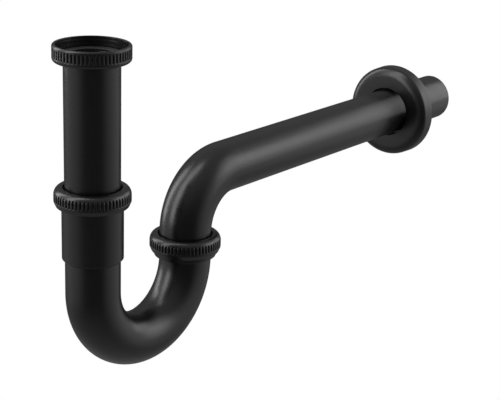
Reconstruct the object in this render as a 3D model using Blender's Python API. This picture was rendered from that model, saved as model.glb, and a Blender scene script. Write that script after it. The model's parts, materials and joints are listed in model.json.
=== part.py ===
"""Washbasin P trap for a 32 mm waste, in tubular form with a wall rosette.

Metres, +Z up, +X towards the wall. The origin is the middle of the inlet union
nut's mouth, on the axis of the basin waste. The water runs down the inlet tube,
round the U-bend, up into the elbow and along +X into the wall.
"""
import math

import bmesh
import bpy
from mathutils import Vector

MM = 0.001

# Tubes: one size throughout
TUBE_RADIUS = 16.0 * MM
BORE_RADIUS = 14.0 * MM
SLIDE_RADIUS = 16.4 * MM       # anything that the tube slides or turns in
BUTT_GAP = 0.3 * MM            # between pieces that rest on each other
THIN_GAP = 0.2 * MM            # the same, in the shallow union nut

# Centre lines
LEG_SPACING = 80.16 * MM       # inlet leg to outlet leg of the U-bend
BEND_RADIUS = LEG_SPACING / 2
BEND_CENTRE_Z = -146.4 * MM
ELBOW_RADIUS = 34.24 * MM
ELBOW_START_Z = -129.81 * MM
OUTLET_Z = ELBOW_START_Z + ELBOW_RADIUS
OUTLET_START_X = LEG_SPACING + ELBOW_RADIUS
OUTLET_LENGTH = 246.06 * MM
OUTLET_END_X = OUTLET_START_X + OUTLET_LENGTH

# Nuts: depths are measured from the closed face towards the mouth
NUT_RADIUS = 22.05 * MM
RIB_COUNT = 60
RIB_LENGTH = 5.1 * MM
GROOVE_DEPTH = 0.45 * MM
GROOVE_RUNOUT = 0.3 * MM

UNION_HEIGHT = 9.7 * MM
UNION_PLATE = 1.4 * MM
UNION_HOLE_RADIUS = 16.5 * MM
UNION_THREAD_RADIUS = 19.5 * MM    # crest of the G 1 1/4 internal thread
UNION_LIP_RADIUS = 21.6 * MM
UNION_MOUTH_BEVEL = 0.6 * MM
UNION_LEAD_IN = 0.9 * MM
UNION_EDGE = 1.6 * MM
UNION_RIB_START = 2.9 * MM

COMPRESSION_HEIGHT = 10.4 * MM
COMPRESSION_PLATE = 2.0 * MM
COMPRESSION_HOLE_RADIUS = 16.9 * MM
COMPRESSION_THREAD_RADIUS = 20.3 * MM
COMPRESSION_LIP_RADIUS = 21.0 * MM
COMPRESSION_MOUTH_BEVEL = 1.5 * MM
COMPRESSION_EDGE = 2.6 * MM
COMPRESSION_RIB_START = 2.8 * MM

INLET_NUT_TOP_Z = -82.1 * MM
OUTLET_NUT_TOP_Z = -130.9 * MM

# Inlet tube and its flat seal
SEAL_TOP_Z = -5.5 * MM
FLAT_SEAL_RADIUS = 18.7 * MM
FLANGE_RADIUS = 18.9 * MM
FLANGE_TOP_Z = -6.9 * MM
FLANGE_THICKNESS = 1.2 * MM
FLANGE_FILLET = 0.4 * MM
INLET_TUBE_END_Z = -104.0 * MM
TUBE_END_BEVEL = 0.5 * MM

# Compression joint: depths below the nut's top face
THRUST_RING_RADIUS = 19.6 * MM
THRUST_RING_THICKNESS = 1.0 * MM
CONE_SEAL_TOP_RADIUS = 18.6 * MM
CONE_SEAL_TIP_RADIUS = 17.0 * MM
CONE_SEAL_COLLAR = 1.0 * MM
CONE_SEAL_HEIGHT = 5.0 * MM
HEAD_RADIUS = 20.0 * MM            # crest of the external thread
HEAD_TOP_DEPTH = 5.1 * MM
HEAD_MOUTH_RADIUS = 18.9 * MM
HEAD_CONE_SLOPE = 0.4167           # radius lost for each unit of depth

# Socket sleeve on the inlet leg of the U-bend
SOCKET_RADIUS = 17.69 * MM
SOCKET_HEAD_LENGTH = 5.2 * MM
SOCKET_BEVEL_Z = -124.3 * MM
SOCKET_END_Z = -125.6 * MM
BEND_INLET_END_Z = -112.0 * MM

# Head on the outlet leg of the U-bend
BEND_STOP_Z = -141.2 * MM
BEND_HEAD_END_Z = -141.0 * MM
BEND_COLLAR_RADIUS = 19.2 * MM     # plain ring under the thread
BEND_COLLAR_TOP_Z = -141.3 * MM
BEND_COLLAR_END_Z = -144.2 * MM
BEND_SHOULDER_END_Z = -144.9 * MM
WALL_TUBE_END_Z = -140.7 * MM

# Rosette: X along the outlet tube
ROSETTE_REAR_X = 310.7 * MM
ROSETTE_FACE_X = 299.0 * MM
ROSETTE_RADIUS = 32.1 * MM
ROSETTE_TAPER = 0.2 * MM           # radius lost by the side towards the front
ROSETTE_FACE_RADIUS = 25.4 * MM    # of the flat face, inside the rounded edge
ROSETTE_ROUNDING = 4.4 * MM        # depth of the rounded edge
ROSETTE_ROUNDING_STEPS = 4
ROSETTE_HOLE_RADIUS = 17.4 * MM
ROSETTE_WALL = 1.6 * MM
ROSETTE_SLEEVE_WALL = 1.2 * MM
ROSETTE_SLEEVE_END_X = 308.6 * MM
ROSETTE_LIP_WIDTH = 1.0 * MM

# Corners round a section, and steps along a bend
SEGMENTS = 36
BEND_STEPS = 15
ELBOW_STEPS = 8

UP = Vector((0.0, 0.0, 1.0))
ALONG = Vector((1.0, 0.0, 0.0))
SIDE = Vector((0.0, 1.0, 0.0))

# Finishes: base colour and roughness
BLACK_PLASTIC = ((0.022, 0.022, 0.023, 1.0), 0.38)
BLACK_RUBBER = ((0.016, 0.016, 0.017, 1.0), 0.75)


def clear_scene():
    for item in list(bpy.data.objects):
        bpy.data.objects.remove(item, do_unlink=True)


def make_material(name, finish):
    """Each sub-part gets a material of its own."""
    colour, roughness = finish
    material = bpy.data.materials.new(name)
    material.use_nodes = True
    shader = material.node_tree.nodes["Principled BSDF"]
    shader.inputs["Base Color"].default_value = colour
    shader.inputs["Roughness"].default_value = roughness
    shader.inputs["Metallic"].default_value = 0.0
    material.diffuse_color = colour
    return material


def ring(centre, direction, radius, count=SEGMENTS, groove=0.0):
    """Corners of one round section; a groove sinks every second corner."""
    across = SIDE.cross(direction)
    corners = []
    for index in range(count):
        angle = 2.0 * math.pi * index / count
        reach = radius - groove * (index % 2)
        offset = math.cos(angle) * across + math.sin(angle) * SIDE
        corners.append(centre + reach * offset)
    return corners


def skin(bm, first, second):
    """Faces between two rings, of equal counts or one with twice the corners."""
    if len(first) == len(second):
        for index, corner in enumerate(first):
            after = (index + 1) % len(first)
            bm.faces.new((corner, first[after], second[after], second[index]))
        return
    coarse, fine = sorted((first, second), key=len)
    for index, corner in enumerate(coarse):
        following = coarse[(index + 1) % len(coarse)]
        start, middle = fine[2 * index], fine[2 * index + 1]
        end = fine[(2 * index + 2) % len(fine)]
        bm.faces.new((corner, start, middle))
        bm.faces.new((corner, middle, following))
        bm.faces.new((following, middle, end))


def make_body(name, rings, finish, origin):
    """One closed solid through a loop of rings, with its origin on its joint axis."""
    bm = bmesh.new()
    loops = [[bm.verts.new(corner - origin) for corner in corners] for corners in rings]
    for index, loop in enumerate(loops):
        skin(bm, loop, loops[(index + 1) % len(loops)])
    bmesh.ops.recalc_face_normals(bm, faces=bm.faces)
    mesh = bpy.data.meshes.new(name)
    bm.to_mesh(mesh)
    bm.free()
    mesh.shade_smooth()
    mesh.set_sharp_from_angle(angle=math.radians(30.0))
    mesh.materials.append(make_material(name, finish))
    item = bpy.data.objects.new(name, mesh)
    item.location = origin
    bpy.context.scene.collection.objects.link(item)
    return item


def turned(name, profile, x, finish, origin_z):
    """A piece turned about the vertical axis at x, from (radius, z) points."""
    rings = [ring(Vector((x, 0.0, z)), UP, radius) for radius, z in profile]
    return make_body(name, rings, finish, Vector((x, 0.0, origin_z)))


def bend_points(centre, radius, sweep, turn, steps):
    """Centres and directions along an arc in the XZ plane that starts at -X of its centre.

    turn is -1 for an arc that first runs down and 1 for one that first runs up.
    """
    stations = []
    for index in range(steps + 1):
        angle = sweep * index / steps
        outward = Vector((-math.cos(angle), 0.0, turn * math.sin(angle)))
        travel = Vector((math.sin(angle), 0.0, turn * math.cos(angle)))
        stations.append((centre + radius * outward, travel))
    return stations


def nut_rings(x, closed_z, facing, spec):
    """Rings of a ribbed nut; facing is the sign of Z from closed face to mouth."""
    edge = spec["edge"]
    rib_start = spec["rib_start"]
    rib_end = rib_start + RIB_LENGTH
    height = spec["height"]

    def level(radius, depth, count=RIB_COUNT, groove=0.0):
        centre = Vector((x, 0.0, closed_z + facing * depth))
        return ring(centre, UP, radius, count, groove)

    rings = [level(spec["hole"], 0.0)]
    for index in range(spec["edge_steps"] + 1):
        angle = 0.5 * math.pi * index / spec["edge_steps"]
        radius = NUT_RADIUS - edge * (1.0 - math.sin(angle))
        rings.append(level(radius, edge * (1.0 - math.cos(angle))))
    rings.append(level(NUT_RADIUS, rib_start))
    rings.append(level(NUT_RADIUS, rib_start + GROOVE_RUNOUT, 2 * RIB_COUNT, GROOVE_DEPTH))
    rings.append(level(NUT_RADIUS, rib_end - GROOVE_RUNOUT, 2 * RIB_COUNT, GROOVE_DEPTH))
    rings.append(level(NUT_RADIUS, rib_end))
    rings.append(level(NUT_RADIUS, height - spec["mouth_bevel"]))
    rings.append(level(spec["lip"], height))
    rings.append(level(spec["thread"] + spec["lead_in"], height))
    if spec["lead_in"] > 0.0:
        rings.append(level(spec["thread"], height - spec["lead_in"]))
    rings.append(level(spec["thread"], spec["plate"]))
    rings.append(level(spec["hole"], spec["plate"]))
    return rings


UNION_NUT = {
    "height": UNION_HEIGHT, "plate": UNION_PLATE, "hole": UNION_HOLE_RADIUS,
    "thread": UNION_THREAD_RADIUS, "lip": UNION_LIP_RADIUS, "lead_in": UNION_LEAD_IN,
    "edge": UNION_EDGE, "edge_steps": 1, "rib_start": UNION_RIB_START,
    "mouth_bevel": UNION_MOUTH_BEVEL,
}
COMPRESSION_NUT = {
    "height": COMPRESSION_HEIGHT, "plate": COMPRESSION_PLATE,
    "hole": COMPRESSION_HOLE_RADIUS, "thread": COMPRESSION_THREAD_RADIUS,
    "lip": COMPRESSION_LIP_RADIUS, "lead_in": 0.0, "edge": COMPRESSION_EDGE,
    "edge_steps": 3, "rib_start": COMPRESSION_RIB_START,
    "mouth_bevel": COMPRESSION_MOUTH_BEVEL,
}


def make_union_joint():
    """Union nut, flat seal and the flanged inlet tube."""
    rings = nut_rings(0.0, -UNION_HEIGHT, 1.0, UNION_NUT)
    make_body("inlet_union_nut", rings, BLACK_PLASTIC, Vector((0.0, 0.0, 0.0)))

    seal_bottom_z = FLANGE_TOP_Z + THIN_GAP
    seal = [
        (BORE_RADIUS, SEAL_TOP_Z), (FLAT_SEAL_RADIUS, SEAL_TOP_Z),
        (FLAT_SEAL_RADIUS, seal_bottom_z), (BORE_RADIUS, seal_bottom_z),
    ]
    turned("inlet_flat_seal", seal, 0.0, BLACK_RUBBER, SEAL_TOP_Z)

    flange_under_z = FLANGE_TOP_Z - FLANGE_THICKNESS
    tube = [
        (BORE_RADIUS, FLANGE_TOP_Z),
        (FLANGE_RADIUS, FLANGE_TOP_Z),
        (FLANGE_RADIUS, flange_under_z),
        (TUBE_RADIUS + FLANGE_FILLET, flange_under_z),
        (TUBE_RADIUS, flange_under_z - FLANGE_FILLET),
        (TUBE_RADIUS, INLET_TUBE_END_Z + TUBE_END_BEVEL),
        (TUBE_RADIUS - TUBE_END_BEVEL, INLET_TUBE_END_Z),
        (BORE_RADIUS, INLET_TUBE_END_Z),
    ]
    turned("inlet_tube", tube, 0.0, BLACK_PLASTIC, FLANGE_TOP_Z)


def make_compression_joint(prefix, x, top_z):
    """Compression nut, thrust ring and cone seal round a tube."""
    rings = nut_rings(x, top_z, -1.0, COMPRESSION_NUT)
    nut_origin = Vector((x, 0.0, top_z))
    make_body(prefix + "_compression_nut", rings, BLACK_PLASTIC, nut_origin)

    ring_top_z = top_z - COMPRESSION_PLATE - BUTT_GAP
    ring_bottom_z = ring_top_z - THRUST_RING_THICKNESS
    washer = [
        (SLIDE_RADIUS, ring_top_z), (THRUST_RING_RADIUS, ring_top_z),
        (THRUST_RING_RADIUS, ring_bottom_z), (SLIDE_RADIUS, ring_bottom_z),
    ]
    turned(prefix + "_thrust_ring", washer, x, BLACK_PLASTIC, ring_top_z)

    seal_top_z = ring_bottom_z - BUTT_GAP
    cone = [
        (SLIDE_RADIUS, seal_top_z),
        (CONE_SEAL_TOP_RADIUS, seal_top_z),
        (CONE_SEAL_TOP_RADIUS, seal_top_z - CONE_SEAL_COLLAR),
        (CONE_SEAL_TIP_RADIUS, seal_top_z - CONE_SEAL_HEIGHT),
        (SLIDE_RADIUS, seal_top_z - CONE_SEAL_HEIGHT),
    ]
    turned(prefix + "_cone_seal", cone, x, BLACK_RUBBER, seal_top_z)


def make_bend_socket():
    """Threaded sleeve that is bonded over the inlet leg of the U-bend."""
    head_top_z = INLET_NUT_TOP_Z - HEAD_TOP_DEPTH
    head_end_z = head_top_z - SOCKET_HEAD_LENGTH
    shoulder_z = head_end_z - (HEAD_RADIUS - SOCKET_RADIUS) / 4
    cone_depth = (HEAD_MOUTH_RADIUS - SLIDE_RADIUS) / HEAD_CONE_SLOPE
    profile = [
        (HEAD_MOUTH_RADIUS, head_top_z),
        (HEAD_RADIUS, head_top_z),
        (HEAD_RADIUS, head_end_z),
        (SOCKET_RADIUS, shoulder_z),
        (SOCKET_RADIUS, SOCKET_BEVEL_Z),
        (SLIDE_RADIUS, SOCKET_END_Z),
        (SLIDE_RADIUS, head_top_z - cone_depth),
    ]
    turned("bend_socket", profile, 0.0, BLACK_PLASTIC, head_top_z)


def make_u_bend():
    """The U with a plain inlet end and a threaded head on its outlet leg."""
    centre = Vector((BEND_RADIUS, 0.0, BEND_CENTRE_Z))
    arc = bend_points(centre, BEND_RADIUS, math.pi, -1.0, BEND_STEPS)
    inlet_end = Vector((0.0, 0.0, BEND_INLET_END_Z))

    def outlet(z):
        return Vector((LEG_SPACING, 0.0, z))

    head_top_z = OUTLET_NUT_TOP_Z - HEAD_TOP_DEPTH
    cone_end_z = head_top_z - (HEAD_MOUTH_RADIUS - SLIDE_RADIUS) / HEAD_CONE_SLOPE
    rings = [ring(inlet_end, -UP, TUBE_RADIUS)]
    rings += [ring(point, travel, TUBE_RADIUS) for point, travel in arc]
    rings += [
        ring(outlet(BEND_SHOULDER_END_Z), UP, TUBE_RADIUS),
        ring(outlet(BEND_COLLAR_END_Z), UP, BEND_COLLAR_RADIUS),
        ring(outlet(BEND_COLLAR_TOP_Z), UP, BEND_COLLAR_RADIUS),
        ring(outlet(BEND_HEAD_END_Z), UP, HEAD_RADIUS),
        ring(outlet(head_top_z), UP, HEAD_RADIUS),
        ring(outlet(head_top_z), UP, HEAD_MOUTH_RADIUS),
        ring(outlet(max(cone_end_z, BEND_STOP_Z)), UP, SLIDE_RADIUS),
        ring(outlet(BEND_STOP_Z), UP, BORE_RADIUS),
    ]
    rings += [ring(point, travel, BORE_RADIUS) for point, travel in reversed(arc)]
    rings.append(ring(inlet_end, -UP, BORE_RADIUS))
    make_body("u_bend", rings, BLACK_PLASTIC, inlet_end)


def make_wall_tube():
    """Vertical end, elbow and the straight run into the wall."""
    centre = Vector((OUTLET_START_X, 0.0, ELBOW_START_Z))
    quarter = bend_points(centre, ELBOW_RADIUS, 0.5 * math.pi, 1.0, ELBOW_STEPS)
    foot = Vector((LEG_SPACING, 0.0, WALL_TUBE_END_Z))
    foot_bevel = foot + TUBE_END_BEVEL * UP
    end = Vector((OUTLET_END_X, 0.0, OUTLET_Z))
    rings = [
        ring(foot, UP, TUBE_RADIUS - TUBE_END_BEVEL),
        ring(foot_bevel, UP, TUBE_RADIUS),
    ]
    rings += [ring(point, travel, TUBE_RADIUS) for point, travel in quarter]
    rings.append(ring(end, ALONG, TUBE_RADIUS))
    rings.append(ring(end, ALONG, BORE_RADIUS))
    rings += [ring(point, travel, BORE_RADIUS) for point, travel in reversed(quarter)]
    rings.append(ring(foot, UP, BORE_RADIUS))
    make_body("wall_tube", rings, BLACK_PLASTIC, Vector((LEG_SPACING, 0.0, OUTLET_Z)))


def make_rosette():
    """Hollow cover with a sleeve and a centring lip that slides on the tube."""
    rear, face = ROSETTE_REAR_X, ROSETTE_FACE_X
    inner_face = face + ROSETTE_WALL
    sleeve_radius = ROSETTE_HOLE_RADIUS + ROSETTE_SLEEVE_WALL
    lip_x = ROSETTE_SLEEVE_END_X - ROSETTE_LIP_WIDTH
    reach = ROSETTE_RADIUS - ROSETTE_TAPER - ROSETTE_FACE_RADIUS
    profile = [(ROSETTE_RADIUS, rear)]
    for step in range(ROSETTE_ROUNDING_STEPS + 1):
        angle = 0.5 * math.pi * step / ROSETTE_ROUNDING_STEPS
        radius = ROSETTE_FACE_RADIUS + reach * math.cos(angle)
        profile.append((radius, face + ROSETTE_ROUNDING * (1.0 - math.sin(angle))))
    profile += [
        (ROSETTE_HOLE_RADIUS, face),
        (ROSETTE_HOLE_RADIUS, lip_x),
        (SLIDE_RADIUS, lip_x),
        (SLIDE_RADIUS, ROSETTE_SLEEVE_END_X),
        (sleeve_radius, ROSETTE_SLEEVE_END_X),
        (sleeve_radius, inner_face),
        (ROSETTE_FACE_RADIUS, inner_face),
        (ROSETTE_RADIUS - ROSETTE_WALL, inner_face + ROSETTE_ROUNDING),
        (ROSETTE_RADIUS - ROSETTE_WALL, rear),
    ]
    rings = [ring(Vector((x, 0.0, OUTLET_Z)), ALONG, radius) for radius, x in profile]
    make_body("wall_rosette", rings, BLACK_PLASTIC, Vector((rear, 0.0, OUTLET_Z)))


def build():
    clear_scene()
    make_union_joint()
    make_compression_joint("inlet", 0.0, INLET_NUT_TOP_Z)
    make_compression_joint("outlet", LEG_SPACING, OUTLET_NUT_TOP_Z)
    make_bend_socket()
    make_u_bend()
    make_wall_tube()
    make_rosette()


build()
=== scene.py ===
"""Looks of a tubular washbasin P trap in satin black plastic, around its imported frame.

Every piece is a turned or swept surface with rounded edges. Nuts carry grip ribs and
a faint thread in their mouths. Places and outer sizes come from the frame's nodes.
"""
import json
import math

import bpy
from mathutils import Matrix, Vector


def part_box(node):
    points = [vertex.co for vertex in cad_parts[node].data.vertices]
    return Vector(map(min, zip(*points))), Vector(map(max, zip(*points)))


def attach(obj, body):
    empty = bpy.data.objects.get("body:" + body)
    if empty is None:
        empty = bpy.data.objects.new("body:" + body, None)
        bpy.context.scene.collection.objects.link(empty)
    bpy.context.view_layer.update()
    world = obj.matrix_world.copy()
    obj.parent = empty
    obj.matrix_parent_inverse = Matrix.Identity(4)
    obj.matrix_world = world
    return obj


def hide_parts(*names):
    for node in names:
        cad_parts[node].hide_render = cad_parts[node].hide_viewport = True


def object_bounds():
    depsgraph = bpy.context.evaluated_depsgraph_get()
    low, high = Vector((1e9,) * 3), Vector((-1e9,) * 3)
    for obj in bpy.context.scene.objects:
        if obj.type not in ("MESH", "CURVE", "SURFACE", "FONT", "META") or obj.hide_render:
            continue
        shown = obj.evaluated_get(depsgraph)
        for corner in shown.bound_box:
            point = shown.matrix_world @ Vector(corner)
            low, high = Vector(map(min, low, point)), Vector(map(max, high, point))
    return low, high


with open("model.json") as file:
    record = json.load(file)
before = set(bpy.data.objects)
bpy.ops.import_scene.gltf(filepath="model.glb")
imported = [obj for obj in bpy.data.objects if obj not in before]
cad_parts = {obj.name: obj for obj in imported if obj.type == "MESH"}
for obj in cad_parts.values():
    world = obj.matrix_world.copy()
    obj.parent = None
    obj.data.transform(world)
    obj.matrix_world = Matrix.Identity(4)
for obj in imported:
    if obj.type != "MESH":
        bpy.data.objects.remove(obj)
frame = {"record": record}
cad_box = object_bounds()

MM = 0.001
UP = Vector((0.0, 0.0, 1.0))
ALONG = Vector((1.0, 0.0, 0.0))
SIDE = Vector((0.0, 1.0, 0.0))

# Tubes
WALL = 2.0 * MM
SLIDE_GAP = 0.4 * MM           # between a tube and what it slides in
BEND_STEPS = 96                # sections round the U-bend
ELBOW_STEPS = 48
RING_CORNERS = 144
ARC_STEPS = 16                 # along a rounded edge

# Grip ribs
RIB_COUNT = 60
RIB_TURN = math.radians(0.7)   # where the first groove stands, from +X plus half a pitch
GROOVE_DEPTH = 0.7 * MM
GROOVE_HALF_ANGLE = math.radians(1.35)
RIB_RUNOUT = 0.35 * MM
RIB_ROWS = (0.0, 0.25, 0.5, 0.75, 1.0)   # rows of the mesh along a runout

# G 1 1/4 pipe thread, 11 turns to the inch
THREAD_PITCH = 25.4 / 11 * MM
THREAD_DEPTH = 0.03 * MM
THREAD_ROWS = 12               # rows of the mesh for each turn
FLANK_DOWN = (0.16, 0.44)      # shares of a turn in which it goes from crest to root
FLANK_UP = (0.60, 0.88)

# Threaded heads that the compression nuts are screwed on
HEAD_LENGTH = 5.2 * MM
HEAD_MOUTH = 18.9 * MM
HEAD_ROWS = 2 * THREAD_ROWS + 3

# Plastic and rubber
CLOUD_SCALE = 45.0
PATCH_SCALE = 140.0
TONES = (0.82, 1.18)           # darkest and lightest share of the colour
PATCHES = (0.3, 0.7)           # noise values that give the smoothest and roughest patches
BUMP_STRENGTH = 0.35
PLASTIC_IOR = 1.45
BLACK = (0.0030, 0.0030, 0.0031)
SOFT_BLACK = (0.012, 0.012, 0.012)

# Camera, 18.83 degrees above the trap
CAMERA_PLACE = (-0.531808, -0.531985, 0.168032)
CAMERA_LENS = 100.73
CAMERA_HEADING = -51.771
CAMERA_FALL = 18.830
CAMERA_ROLL = 1.921

# Studio
FLOOR_DROP = 0.25              # below the trap's lowest point
FLOOR_HALF = 6.0
LIGHT_DISTANCE = 1.3
# azimuth and elevation in degrees, width and height in metres, radiance, shape
SOFTBOXES = {
    "softbox_right": (-51.0, 21.0, 0.90, 1.54, 0.98, "ELLIPSE"),
    "softbox_right_core": (-51.0, 20.0, 0.84, 0.64, 1.0, "ELLIPSE"),
    "softbox_low": (-14.0, 13.0, 0.74, 0.80, 1.25, "RECTANGLE"),
    "softbox_back": (108.0, 20.0, 0.36, 1.42, 4.7, "RECTANGLE"),
    "softbox_left": (153.5, 40.0, 0.46, 2.40, 4.5, "RECTANGLE"),
}
ROOM_HORIZON = 0.10
ROOM_TOP = 0.55
ROOM_FLOOR = 0.40
FLOOR_FADE = (-0.3, -1.0)      # heights on a unit sphere
SIDE_GLOW = 0.62
SIDE_GLOW_AZIMUTH = -42.0
SIDE_GLOW_FADE = (0.48, 0.95)
LOW_GLOW_FADE = (-0.65, -0.25)
LOW_GLOW_SHARE = 0.2           # what is left of the side glow near the floor


# ---------------------------------------------------------------- outlines

def rounded(corners, steps=5):
    """Closed outline with its corners turned into arcs.

    Each corner is (radius, height, fillet, tag); the tag goes to the stretch that
    follows the corner. Returns (radius, height, tag) points.
    """
    points = []
    count = len(corners)
    for index, (radius, height, fillet, tag) in enumerate(corners):
        here = Vector((radius, height))
        before = Vector(corners[index - 1][:2])
        after = Vector(corners[(index + 1) % count][:2])
        if fillet <= 0.0:
            points.append((radius, height, tag))
            continue
        to_before = (before - here).normalized()
        to_after = (after - here).normalized()
        half = 0.5 * math.acos(max(-1.0, min(1.0, to_before.dot(to_after))))
        reach = fillet / math.tan(half)
        middle = here + (to_before + to_after).normalized() * fillet / math.sin(half)
        start = here + reach * to_before - middle
        end = here + reach * to_after - middle
        for step in range(steps + 1):
            spoke = start.lerp(end, step / steps).normalized() * fillet
            last = step == steps
            points.append((middle.x + spoke.x, middle.y + spoke.y, tag if last else ""))
    return points


def rounding_arc(centre_radius, centre_height, reach, rise, tag=""):
    """Quarter of an ellipse, as corners that need no fillet.

    It runs from the outside round to the end when rise is above 0, and from the end
    round to the outside when it is below.
    """
    corners = []
    for step in range(ARC_STEPS + 1):
        angle = 0.5 * math.pi * step / ARC_STEPS
        if rise < 0.0:
            angle = 0.5 * math.pi - angle
        corners.append((centre_radius + reach * math.cos(angle),
                        centre_height + rise * math.sin(angle), 0.0, tag))
    return corners


def with_rows(points, tag, heights):
    """Adds rows at these heights to the stretch of the outline with this tag."""
    result = []
    for index, point in enumerate(points):
        result.append(point)
        if point[2] != tag:
            continue
        after = points[(index + 1) % len(points)]
        rising = after[1] > point[1]
        low, high = sorted((point[1], after[1]))
        inside = [h for h in heights if low + 1e-6 < h < high - 1e-6]
        for height in sorted(inside, reverse=not rising):
            share = (height - point[1]) / (after[1] - point[1])
            radius = point[0] + share * (after[0] - point[0])
            result.append((radius, height, tag))
    return result


# ------------------------------------------------------------------ meshes

def closed_mesh(name, rings):
    """Skin through a loop of rings with equal corner counts."""
    corners = [corner for ring in rings for corner in ring]
    width = len(rings[0])
    faces = []
    for row in range(len(rings)):
        following = (row + 1) % len(rings)
        for column in range(width):
            after = (column + 1) % width
            faces.append((
                row * width + column, following * width + column,
                following * width + after, row * width + after,
            ))
    mesh = bpy.data.meshes.new(name)
    mesh.from_pydata(corners, [], faces)
    if signed_volume(mesh) < 0.0:
        mesh.flip_normals()
    mesh.shade_smooth()
    item = bpy.data.objects.new(name, mesh)
    bpy.context.scene.collection.objects.link(item)
    return item


def signed_volume(mesh):
    total = 0.0
    for face in mesh.polygons:
        first, *rest = (mesh.vertices[index].co for index in face.vertices)
        for second, third in zip(rest, rest[1:]):
            total += first.dot(second.cross(third))
    return total / 6.0


def even_angles(count):
    return [2.0 * math.pi * index / count for index in range(count)]


def ring(centre, direction, radius, angles, relief=None):
    """One round section; relief gives the height of the surface at each angle."""
    across = SIDE.cross(direction)
    corners = []
    for angle in angles:
        reach = radius + (relief(angle) if relief else 0.0)
        corners.append(centre + reach * (math.cos(angle) * across + math.sin(angle) * SIDE))
    return corners


def turned(name, points, foot, direction, angles, relief=None):
    """A turned piece: points are (radius, height along direction from foot, tag)."""
    rings = []
    for radius, height, tag in points:
        def local(angle, height=height, tag=tag):
            return relief(tag, height, angle)
        rings.append(ring(foot + height * direction, direction, radius, angles,
                          local if relief and tag else None))
    return closed_mesh(name, rings)


# ------------------------------------------------------- ribs and threads

def smooth(low, high, value):
    share = max(0.0, min(1.0, (value - low) / (high - low)))
    return share * share * (3.0 - 2.0 * share)


def rib_angles():
    """Angles that put mesh corners where the ribs bend."""
    pitch = 2.0 * math.pi / RIB_COUNT
    shares = (-1.0, -0.9, -0.8, -0.7, -0.6, 0.0, 0.6, 0.7, 0.8, 0.9, 1.0)
    offsets = [share * GROOVE_HALF_ANGLE for share in shares]
    offsets += [0.5 * pitch - 0.25 * (0.5 * pitch - GROOVE_HALF_ANGLE), 0.5 * pitch]
    offsets += [-0.5 * pitch + 0.25 * (0.5 * pitch - GROOVE_HALF_ANGLE)]
    offsets.sort()
    first = RIB_TURN + 0.5 * pitch
    return [first + rib * pitch + offset for rib in range(RIB_COUNT) for offset in offsets]


def groove(angle):
    """From 0 on a rib's flat to 1 on the floor of the groove beside it."""
    pitch = 2.0 * math.pi / RIB_COUNT
    place = (angle - RIB_TURN - 0.5 * pitch) / pitch
    offset = abs(place - round(place)) * pitch
    return 1.0 - smooth(0.6 * GROOVE_HALF_ANGLE, GROOVE_HALF_ANGLE, offset)


def rib_window(height, start, end):
    """How deep the grooves are at this height: they run out at both ends."""
    rise = smooth(start, start + RIB_RUNOUT, height)
    fall = smooth(end - RIB_RUNOUT, end, height)
    return rise - fall


def thread_wave(height, angle):
    """Right-hand thread: 0 on the crest, 1 on the root, with sloped flanks."""
    place = (height / THREAD_PITCH - angle / (2.0 * math.pi)) % 1.0
    return smooth(*FLANK_DOWN, place) - smooth(*FLANK_UP, place)


def thread_window(height, start, end, fade):
    return smooth(start, start + fade, height) - smooth(end - fade, end, height)


# ------------------------------------------------------- places from the frame

def node_axis(name):
    """Middle of a node's box."""
    low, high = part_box(name)
    return 0.5 * (Vector(low) + Vector(high))


def node_low(name):
    return Vector(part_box(name)[0])


def node_high(name):
    return Vector(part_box(name)[1])


TUBE_RADIUS = 0.5 * (node_high("wall_tube").y - node_low("wall_tube").y)
BORE_RADIUS = TUBE_RADIUS - WALL
OUTLET_Z = node_high("wall_tube").z - TUBE_RADIUS
OUTLET_END_X = node_high("wall_tube").x
LEG_X = node_axis("outlet_compression_nut").x
BEND_RADIUS = 0.5 * LEG_X
BEND_CENTRE_Z = node_low("u_bend").z + TUBE_RADIUS + BEND_RADIUS
NUT_RADIUS = node_high("inlet_union_nut").x


# ---------------------------------------------------------------- materials

def noise_node(tree, coordinates, scale, detail):
    noise = tree.nodes.new("ShaderNodeTexNoise")
    noise.inputs["Scale"].default_value = scale
    noise.inputs["Detail"].default_value = detail
    tree.links.new(coordinates.outputs["Object"], noise.inputs["Vector"])
    return noise


def moulded(name, colour, roughness, spread, grain, grain_depth):
    """Moulded plastic or rubber: clouded roughness, faint tone changes and a fine grain.

    colour is (red, green, blue); spread is how far the roughness strays; grain is the
    size of the surface texture and grain_depth its height, both in metres.
    """
    material = bpy.data.materials.new(name)
    material.use_nodes = True
    tree = material.node_tree
    shader = tree.nodes["Principled BSDF"]
    shader.inputs["Metallic"].default_value = 0.0
    shader.inputs["IOR"].default_value = PLASTIC_IOR
    coordinates = tree.nodes.new("ShaderNodeTexCoord")

    clouds = noise_node(tree, coordinates, CLOUD_SCALE, 3.0)
    tone = tree.nodes.new("ShaderNodeMix")
    tone.data_type = "RGBA"
    for socket, share in zip("AB", TONES):
        tone.inputs[socket].default_value = (*(share * channel for channel in colour), 1.0)
    tree.links.new(clouds.outputs["Fac"], tone.inputs["Factor"])
    tree.links.new(tone.outputs["Result"], shader.inputs["Base Color"])

    patches = noise_node(tree, coordinates, PATCH_SCALE, 4.0)
    rough = tree.nodes.new("ShaderNodeMapRange")
    rough.inputs["From Min"].default_value = PATCHES[0]
    rough.inputs["From Max"].default_value = PATCHES[1]
    rough.inputs["To Min"].default_value = roughness - spread
    rough.inputs["To Max"].default_value = roughness + spread
    tree.links.new(patches.outputs["Fac"], rough.inputs["Value"])
    tree.links.new(rough.outputs["Result"], shader.inputs["Roughness"])

    texture = noise_node(tree, coordinates, 1.0 / grain, 2.0)
    bump = tree.nodes.new("ShaderNodeBump")
    bump.inputs["Strength"].default_value = BUMP_STRENGTH
    bump.inputs["Distance"].default_value = grain_depth
    tree.links.new(texture.outputs["Fac"], bump.inputs["Height"])
    tree.links.new(bump.outputs["Normal"], shader.inputs["Normal"])
    return material


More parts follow.
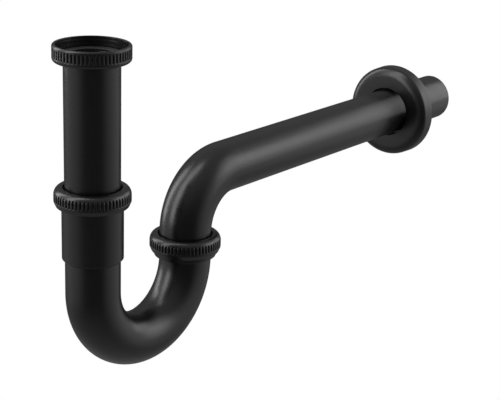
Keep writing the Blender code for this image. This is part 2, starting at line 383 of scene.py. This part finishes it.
FINISHES = {
    "tube_plastic": moulded("tube_satin_black", BLACK, 0.30, 0.03, 0.5 * MM, 0.012 * MM),
    "nut_plastic": moulded("nut_satin_black", BLACK, 0.30, 0.04, 0.4 * MM, 0.015 * MM),
    "rosette_plastic": moulded("rosette_satin_black", BLACK, 0.30, 0.03, 0.5 * MM, 0.012 * MM),
    "seal_rubber": moulded("seal_rubber_black", SOFT_BLACK, 0.55, 0.08, 0.3 * MM, 0.02 * MM),
    "slip_plastic": moulded("slip_washer_black", SOFT_BLACK, 0.42, 0.05, 0.4 * MM, 0.01 * MM),
}
NODE_SLOT = {part["node"]: part["material_slot"] for part in frame["record"]["subparts"]}
NODE_BODY = {
    node: body
    for body, nodes in frame["record"]["behaviour"]["bodies"].items()
    for node in nodes
}


def finish_piece(piece, node):
    """The piece stands for its CAD node, rides where it rides and takes its finish."""
    piece.data.materials.append(FINISHES[NODE_SLOT[node]])
    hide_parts(node)
    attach(piece, NODE_BODY[node])


# ---------------------------------------------------------- paths for tubes

def on_arc(centre, radius, angle, turn):
    """Place and heading on an arc in the XZ plane that starts at -X of its centre."""
    outward = Vector((-math.cos(angle), 0.0, turn * math.sin(angle)))
    heading = Vector((math.sin(angle), 0.0, turn * math.cos(angle)))
    return centre + radius * outward, heading


def u_path(top_z):
    """Down the inlet leg, round the U and up the outlet leg."""
    drop = top_z - BEND_CENTRE_Z
    around = math.pi * BEND_RADIUS
    centre = Vector((BEND_RADIUS, 0.0, BEND_CENTRE_Z))

    def place(distance):
        if distance < drop:
            return Vector((0.0, 0.0, top_z - distance)), -UP
        if distance < drop + around:
            return on_arc(centre, BEND_RADIUS, (distance - drop) / BEND_RADIUS, -1.0)
        return Vector((LEG_X, 0.0, BEND_CENTRE_Z + distance - drop - around)), UP
    return place


def wall_path(foot_z, start_z, radius):
    """Up the vertical end, round the elbow and along the straight run."""
    rise = start_z - foot_z
    around = 0.5 * math.pi * radius
    centre = Vector((LEG_X + radius, 0.0, start_z))

    def place(distance):
        if distance < rise:
            return Vector((LEG_X, 0.0, foot_z + distance)), UP
        if distance < rise + around:
            return on_arc(centre, radius, (distance - rise) / radius, 1.0)
        return Vector((LEG_X + radius + distance - rise - around, 0.0, OUTLET_Z)), ALONG
    return place


def swept(name, points, path, angles, relief=None):
    """A piece along a path: points are (radius, distance along the path, tag)."""
    rings = []
    for radius, distance, tag in points:
        centre, direction = path(distance)

        def local(angle, distance=distance, tag=tag):
            return relief(tag, distance, angle)
        rings.append(ring(centre, direction, radius, angles, local if relief and tag else None))
    return closed_mesh(name, rings)


def span(low, high, count):
    """Even steps from low to high, both included."""
    return [low + (high - low) * index / count for index in range(count + 1)]


# ----------------------------------------------------------------- the nuts

def make_nut(node, mouth_up, sizes):
    """Ribbed nut. Depths run from the closed face to the mouth, in metres."""
    axis = node_axis(node)
    height = node_high(node).z - node_low(node).z + sizes["crown"]
    rib_start, rib_end = sizes["ribs"]
    across, deep = sizes["rounding"]
    outline = [
        (sizes["hole"], 0.0, 0.3 * MM, ""),
        *rounding_arc(NUT_RADIUS - across, deep, across, -deep, "rib"),
        (NUT_RADIUS, height - sizes["mouth_bevel"], sizes["bevel_fillet"], ""),
        (sizes["lip"], height, sizes["lip_fillet"], ""),
        (sizes["mouth"], height, sizes["lip_fillet"], "thread"),
        (sizes["thread"], sizes["plate"], 0.3 * MM, ""),
        (sizes["hole"], sizes["plate"], 0.2 * MM, ""),
    ]
    points = rounded(outline)
    rows = [rib_start + share * RIB_RUNOUT for share in RIB_ROWS]
    rows += [rib_end - share * RIB_RUNOUT for share in RIB_ROWS]
    points = with_rows(points, "rib", rows)
    thread_start = sizes["plate"] + 0.6 * MM
    thread_end = height - 0.5 * MM
    turns = (thread_end - thread_start) / THREAD_PITCH
    thread_rows = span(thread_start, thread_end, round(turns * THREAD_ROWS))
    points = with_rows(points, "thread", thread_rows)

    def relief(tag, depth, angle):
        if tag == "rib":
            return -GROOVE_DEPTH * groove(angle) * rib_window(depth, rib_start, rib_end)
        hand = depth if mouth_up else -depth
        fade = thread_window(depth, thread_start, thread_end, 0.8 * MM)
        return THREAD_DEPTH * thread_wave(hand, angle) * fade

    if mouth_up:
        foot = Vector((axis.x, 0.0, node_low(node).z))
        levels = points
    else:
        foot = Vector((axis.x, 0.0, node_high(node).z + sizes["crown"]))
        levels = [(radius, -depth, tag) for radius, depth, tag in points]

    def flipped(tag, level, angle):
        return relief(tag, level if mouth_up else -level, angle)
    piece = turned(node.replace("_nut", "_nut_ribbed"), levels, foot, UP, rib_angles(), flipped)
    finish_piece(piece, node)


UNION_NUT = {
    "hole": 16.5 * MM, "plate": 1.4 * MM, "thread": 19.6 * MM, "mouth": 20.2 * MM,
    "lip": 21.5 * MM, "lip_fillet": 0.14 * MM, "mouth_bevel": 0.7 * MM,
    "bevel_fillet": 0.8 * MM, "ribs": (2.9 * MM, 8.0 * MM),
    "rounding": (2.3 * MM, 2.3 * MM), "crown": 0.0,
}
COMPRESSION_NUT = {
    "hole": 16.9 * MM, "plate": 2.3 * MM, "thread": 20.3 * MM, "mouth": 20.4 * MM,
    "lip": 20.9 * MM, "lip_fillet": 0.14 * MM, "mouth_bevel": 2.6 * MM,
    "bevel_fillet": 1.5 * MM, "ribs": (2.3 * MM, 7.35 * MM),
    "rounding": (3.6 * MM, 4.4 * MM), "crown": 0.35 * MM,
}
make_nut("inlet_union_nut", True, UNION_NUT)
make_nut("inlet_compression_nut", False, COMPRESSION_NUT)
make_nut("outlet_compression_nut", False, COMPRESSION_NUT)


# ------------------------------------------------------- rings and seals

def make_ring(node, name, corners):
    """Small turned ring; corners are (radius, height above the node's foot, fillet)."""
    axis = node_axis(node)
    foot = Vector((axis.x, 0.0, node_low(node).z))
    points = rounded([(*corner, "") for corner in corners])
    piece = turned(name, points, foot, UP, even_angles(RING_CORNERS))
    finish_piece(piece, node)


def make_washer(node, name, inner, edge):
    """Flat ring as wide and as thick as its node."""
    radius = node_high(node).y
    thickness = node_high(node).z - node_low(node).z
    make_ring(node, name, (
        (inner, 0.0, edge), (radius, 0.0, edge),
        (radius, thickness, edge), (inner, thickness, edge),
    ))


def make_cone_seal(node, name):
    """Collar above, tapered lip below."""
    inner = TUBE_RADIUS + SLIDE_GAP
    top = node_high(node).z - node_low(node).z
    collar = 1.0 * MM
    tip = 17.0 * MM
    wide = node_high(node).y
    make_ring(node, name, (
        (inner, 0.0, 0.2 * MM), (tip, 0.0, 0.25 * MM), (wide, top - collar, 0.5 * MM),
        (wide, top, 0.3 * MM), (inner, top, 0.2 * MM),
    ))


make_washer("inlet_flat_seal", "flat_seal_ring", BORE_RADIUS, 0.3 * MM)
for side in ("inlet", "outlet"):
    make_washer(side + "_thrust_ring", side + "_slip_washer", TUBE_RADIUS + SLIDE_GAP,
                0.2 * MM)
    make_cone_seal(side + "_cone_seal", side + "_cone_gasket")


# ------------------------------------------------------------------ tubes

def make_inlet_tube():
    """Flanged tube that hangs from the flat seal."""
    low, high = node_low("inlet_tube"), node_high("inlet_tube")
    length = high.z - low.z
    flange = 1.2 * MM
    points = rounded([
        (BORE_RADIUS, 0.0, 0.5 * MM, ""), (TUBE_RADIUS, 0.0, 0.6 * MM, ""),
        (TUBE_RADIUS, length - flange, 0.4 * MM, ""),
        (high.y, length - flange, 0.3 * MM, ""),
        (high.y, length, 0.3 * MM, ""), (BORE_RADIUS, length, 0.4 * MM, ""),
    ])
    piece = turned("inlet_dip_tube", points, Vector((0.0, 0.0, low.z)), UP,
                   even_angles(RING_CORNERS))
    finish_piece(piece, "inlet_tube")


def head_thread(start, end):
    """Relief of a head's outer thread between two heights."""
    def relief(tag, height, angle):
        if tag != "thread":
            return 0.0
        fade = thread_window(height, start, end, 0.7 * MM)
        return -THREAD_DEPTH * thread_wave(height, angle) * fade
    return relief


def make_socket():
    """Sleeve with a threaded head, bonded over the inlet leg of the U-bend."""
    low, high = node_low("bend_socket"), node_high("bend_socket")
    length = high.z - low.z
    sleeve = 17.69 * MM
    bore = TUBE_RADIUS + SLIDE_GAP
    head_foot = length - HEAD_LENGTH
    seat_depth = 6.0 * MM
    outline = [
        (bore, 0.0, 0.12 * MM, ""), (sleeve, 1.3 * MM, 0.35 * MM, ""),
        (sleeve, head_foot - 0.6 * MM, 0.3 * MM, ""), (high.y, head_foot, 0.25 * MM, "thread"),
        (high.y, length, 0.3 * MM, ""), (HEAD_MOUTH, length, 0.2 * MM, ""),
        (bore, length - seat_depth, 0.5 * MM, ""),
    ]
    points = rounded(outline)
    points = with_rows(points, "thread", span(head_foot, length, HEAD_ROWS))
    relief = head_thread(head_foot + 0.2 * MM, length - 0.3 * MM)
    piece = turned("bend_socket_sleeve", points, Vector((0.0, 0.0, low.z)), UP,
                   even_angles(RING_CORNERS), relief)
    finish_piece(piece, "bend_socket")


def make_u_bend():
    """The water seal: plain inlet end, then a collar and a threaded head on the outlet leg."""
    top_z = -112.0 * MM
    path = u_path(top_z)
    drop = top_z - BEND_CENTRE_Z
    around = math.pi * BEND_RADIUS
    legs = drop + around

    def up_leg(z):
        return legs + z - BEND_CENTRE_Z

    nut_cover = 5.1 * MM
    head_top = up_leg(node_high("outlet_compression_nut").z - nut_cover)
    head_foot = head_top - HEAD_LENGTH
    stop = up_leg(-141.2 * MM)
    head = node_high("u_bend").y
    collar = 19.2 * MM
    collar_foot = up_leg(-144.2 * MM)
    outline = [
        (BORE_RADIUS, 0.0, 0.4 * MM, ""), (TUBE_RADIUS, 0.0, 0.4 * MM, "outside"),
        (TUBE_RADIUS, collar_foot - 0.5 * MM, 0.3 * MM, ""),
        (collar, collar_foot, 0.4 * MM, ""), (collar, head_foot - 0.3 * MM, 0.1 * MM, ""),
        (head, head_foot, 0.15 * MM, "thread"),
        (head, head_top, 0.3 * MM, ""), (HEAD_MOUTH, head_top, 0.2 * MM, ""),
        (TUBE_RADIUS + SLIDE_GAP, stop, 0.15 * MM, ""), (BORE_RADIUS, stop, 0.3 * MM, "inside"),
    ]
    points = rounded(outline)
    arc_rows = span(drop, legs, BEND_STEPS)
    points = with_rows(points, "outside", arc_rows)
    points = with_rows(points, "inside", arc_rows)
    points = with_rows(points, "thread", span(head_foot, head_top, HEAD_ROWS))
    relief = head_thread(head_foot + 0.2 * MM, head_top - 0.3 * MM)
    piece = swept("water_seal_bend", points, path, even_angles(RING_CORNERS), relief)
    finish_piece(piece, "u_bend")


def make_wall_tube():
    """Vertical end, elbow and the long run into the wall, one moulding."""
    foot_z = node_low("wall_tube").z
    elbow = 34.24 * MM
    start_z = OUTLET_Z - elbow
    rise = start_z - foot_z
    around = 0.5 * math.pi * elbow
    length = rise + around + OUTLET_END_X - LEG_X - elbow
    outline = [
        (BORE_RADIUS, 0.0, 0.3 * MM, ""), (TUBE_RADIUS, 0.0, 0.5 * MM, "outside"),
        (TUBE_RADIUS, length, 0.5 * MM, ""), (BORE_RADIUS, length, 0.5 * MM, "inside"),
    ]
    points = rounded(outline)
    rows = span(rise, rise + around, ELBOW_STEPS)
    points = with_rows(points, "outside", rows)
    points = with_rows(points, "inside", rows)
    path = wall_path(foot_z, start_z, elbow)
    piece = swept("elbow_and_wall_run", points, path, even_angles(RING_CORNERS))
    finish_piece(piece, "wall_tube")


def make_rosette():
    """Hollow wall cover with a softly rounded front; distances run from the wall."""
    low, high = node_low("wall_rosette"), node_high("wall_rosette")
    depth = high.x - low.x
    rim = high.y
    wall = 1.6 * MM
    hole = 17.4 * MM
    sleeve = hole + 1.2 * MM
    lip = TUBE_RADIUS + 0.02 * MM
    lip_front, lip_back = 3.0 * MM, 1.2 * MM
    face = 25.4 * MM
    rounding = 4.4 * MM
    taper = 0.2 * MM
    outline = [
        (rim, 0.0, 0.3 * MM, ""),
        *rounding_arc(face, depth - rounding, rim - taper - face, rounding),
        (hole, depth, 0.12 * MM, ""), (hole, lip_front, 0.2 * MM, ""),
        (lip, lip_front, 0.1 * MM, ""), (lip, lip_back, 0.1 * MM, ""),
        (sleeve, lip_back, 0.2 * MM, ""), (sleeve, depth - wall, 0.5 * MM, ""),
        (rim - wall, depth - wall, rounding, ""), (rim - wall, 0.0, 0.3 * MM, ""),
    ]
    points = rounded(outline, 7)
    foot = Vector((high.x, 0.0, OUTLET_Z))
    piece = turned("rosette_cover", points, foot, -ALONG, even_angles(2 * RING_CORNERS))
    finish_piece(piece, "wall_rosette")


make_inlet_tube()
make_socket()
make_u_bend()
make_wall_tube()
make_rosette()


# ----------------------------------------------------- camera, stage, light

def add_camera():
    """Looks down on the trap from its front left."""
    data = bpy.data.cameras.new("camera")
    data.sensor_width = 36.0
    data.lens = CAMERA_LENS
    data.clip_start = 0.01
    data.clip_end = 50.0
    camera = bpy.data.objects.new("camera", data)
    heading = Matrix.Rotation(math.radians(CAMERA_HEADING), 4, "Z")
    tilt = Matrix.Rotation(math.radians(90.0 - CAMERA_FALL), 4, "X")
    roll = Matrix.Rotation(math.radians(CAMERA_ROLL), 4, "Z")
    place = Matrix.Translation(CAMERA_PLACE)
    camera.matrix_world = place @ heading @ tilt @ roll
    bpy.context.scene.collection.objects.link(camera)
    bpy.context.scene.camera = camera


def camera_only(tree, seen, lighting):
    """Strength for a surround: seen by the camera, and as lighting by all other rays."""
    path = tree.nodes.new("ShaderNodeLightPath")
    level = tree.nodes.new("ShaderNodeMix")
    level.inputs["B"].default_value = seen
    tree.links.new(path.outputs["Is Camera Ray"], level.inputs["Factor"])
    tree.links.new(lighting, level.inputs["A"])
    return level.outputs["Result"]


def add_floor():
    """Plain white floor, lit evenly, so that the object stands free of shadows."""
    material = bpy.data.materials.new("pale_floor")
    material.use_nodes = True
    tree = material.node_tree
    tree.nodes.clear()
    glow = tree.nodes.new("ShaderNodeEmission")
    glow.inputs["Color"].default_value = (1.0, 1.0, 1.0, 1.0)
    output = tree.nodes.new("ShaderNodeOutputMaterial")
    tree.links.new(glow.outputs["Emission"], output.inputs["Surface"])
    mesh = bpy.data.meshes.new("floor")
    low = cad_box[0][2] - FLOOR_DROP
    half = FLOOR_HALF
    corners = [(-half, -half, low), (half, -half, low), (half, half, low), (-half, half, low)]
    mesh.from_pydata(corners, [], [(0, 1, 2, 3)])
    mesh.materials.append(material)
    floor = bpy.data.objects.new("floor", mesh)
    floor.visible_glossy = False
    floor.visible_diffuse = False
    floor.visible_shadow = False
    bpy.context.scene.collection.objects.link(floor)


def free_of_shadows(*names):
    """A light-linking collection whose pieces cast no shadow; all others do."""
    passed = bpy.data.collections.new("let_through")
    for name in names:
        passed.objects.link(bpy.data.objects[name])
    for item in passed.collection_objects:
        item.light_linking.link_state = "EXCLUDE"
    return passed


def add_softbox(name, azimuth, elevation, width, height, radiance, shape):
    """Flat light that faces the middle of the object."""
    data = bpy.data.lights.new(name, "AREA")
    data.shape = shape
    data.size = width
    data.size_y = height
    data.energy = radiance * math.pi * width * height
    light = bpy.data.objects.new(name, data)
    turn = math.radians(azimuth)
    rise = math.radians(elevation)
    away = Vector((math.cos(turn) * math.cos(rise), math.sin(turn) * math.cos(rise),
                   math.sin(rise)))
    middle = 0.5 * (Vector(cad_box[0]) + Vector(cad_box[1]))
    light.location = middle + LIGHT_DISTANCE * away
    light.rotation_euler = away.to_track_quat("Z", "Y").to_euler()
    bpy.context.scene.collection.objects.link(light)
    return light


def graded(tree, value, start, end, low, high):
    """Smooth change from low to high while value goes from start to end."""
    grade = tree.nodes.new("ShaderNodeMapRange")
    grade.interpolation_type = "SMOOTHSTEP"
    grade.inputs["From Min"].default_value = start
    grade.inputs["From Max"].default_value = end
    grade.inputs["To Min"].default_value = low
    grade.inputs["To Max"].default_value = high
    tree.links.new(value, grade.inputs["Value"])
    return grade.outputs["Result"]


def math_node(tree, operation, first, second=None):
    node = tree.nodes.new("ShaderNodeMath")
    node.operation = operation
    tree.links.new(first, node.inputs[0])
    if second:
        tree.links.new(second, node.inputs[1])
    return node.outputs["Value"]


def add_world():
    """A dim room: darkest at the horizon, lighter overhead, below and on two sides."""
    world = bpy.data.worlds.new("studio")
    world.use_nodes = True
    tree = world.node_tree
    background = tree.nodes["Background"]
    background.inputs["Color"].default_value = (1.0, 1.0, 1.0, 1.0)
    coordinates = tree.nodes.new("ShaderNodeTexCoord")
    split = tree.nodes.new("ShaderNodeSeparateXYZ")
    tree.links.new(coordinates.outputs["Generated"], split.inputs["Vector"])
    height = split.outputs["Z"]
    above = graded(tree, height, 0.0, 1.0, 0.0, ROOM_TOP - ROOM_HORIZON)
    below = graded(tree, height, *FLOOR_FADE, ROOM_HORIZON, ROOM_FLOOR)
    across = tree.nodes.new("ShaderNodeVectorMath")
    across.operation = "DOT_PRODUCT"
    turn = math.radians(SIDE_GLOW_AZIMUTH)
    across.inputs[1].default_value = (math.cos(turn), math.sin(turn), 0.0)
    tree.links.new(coordinates.outputs["Generated"], across.inputs[0])
    either = math_node(tree, "ABSOLUTE", across.outputs["Value"])
    sides = graded(tree, either, *SIDE_GLOW_FADE, 0.0, SIDE_GLOW)
    low_fade = graded(tree, height, *LOW_GLOW_FADE, LOW_GLOW_SHARE, 1.0)
    sides = math_node(tree, "MULTIPLY", sides, low_fade)
    total = math_node(tree, "ADD", math_node(tree, "ADD", above, below), sides)
    strength = camera_only(tree, 1.0, total)
    tree.links.new(strength, background.inputs["Strength"])
    bpy.context.scene.world = world


add_camera()
add_floor()
softboxes = {name: add_softbox(name, *setting) for name, setting in SOFTBOXES.items()}
softboxes["softbox_low"].light_linking.blocker_collection = free_of_shadows("rosette_cover")
add_world()
bpy.context.scene.view_settings.view_transform = "Standard"
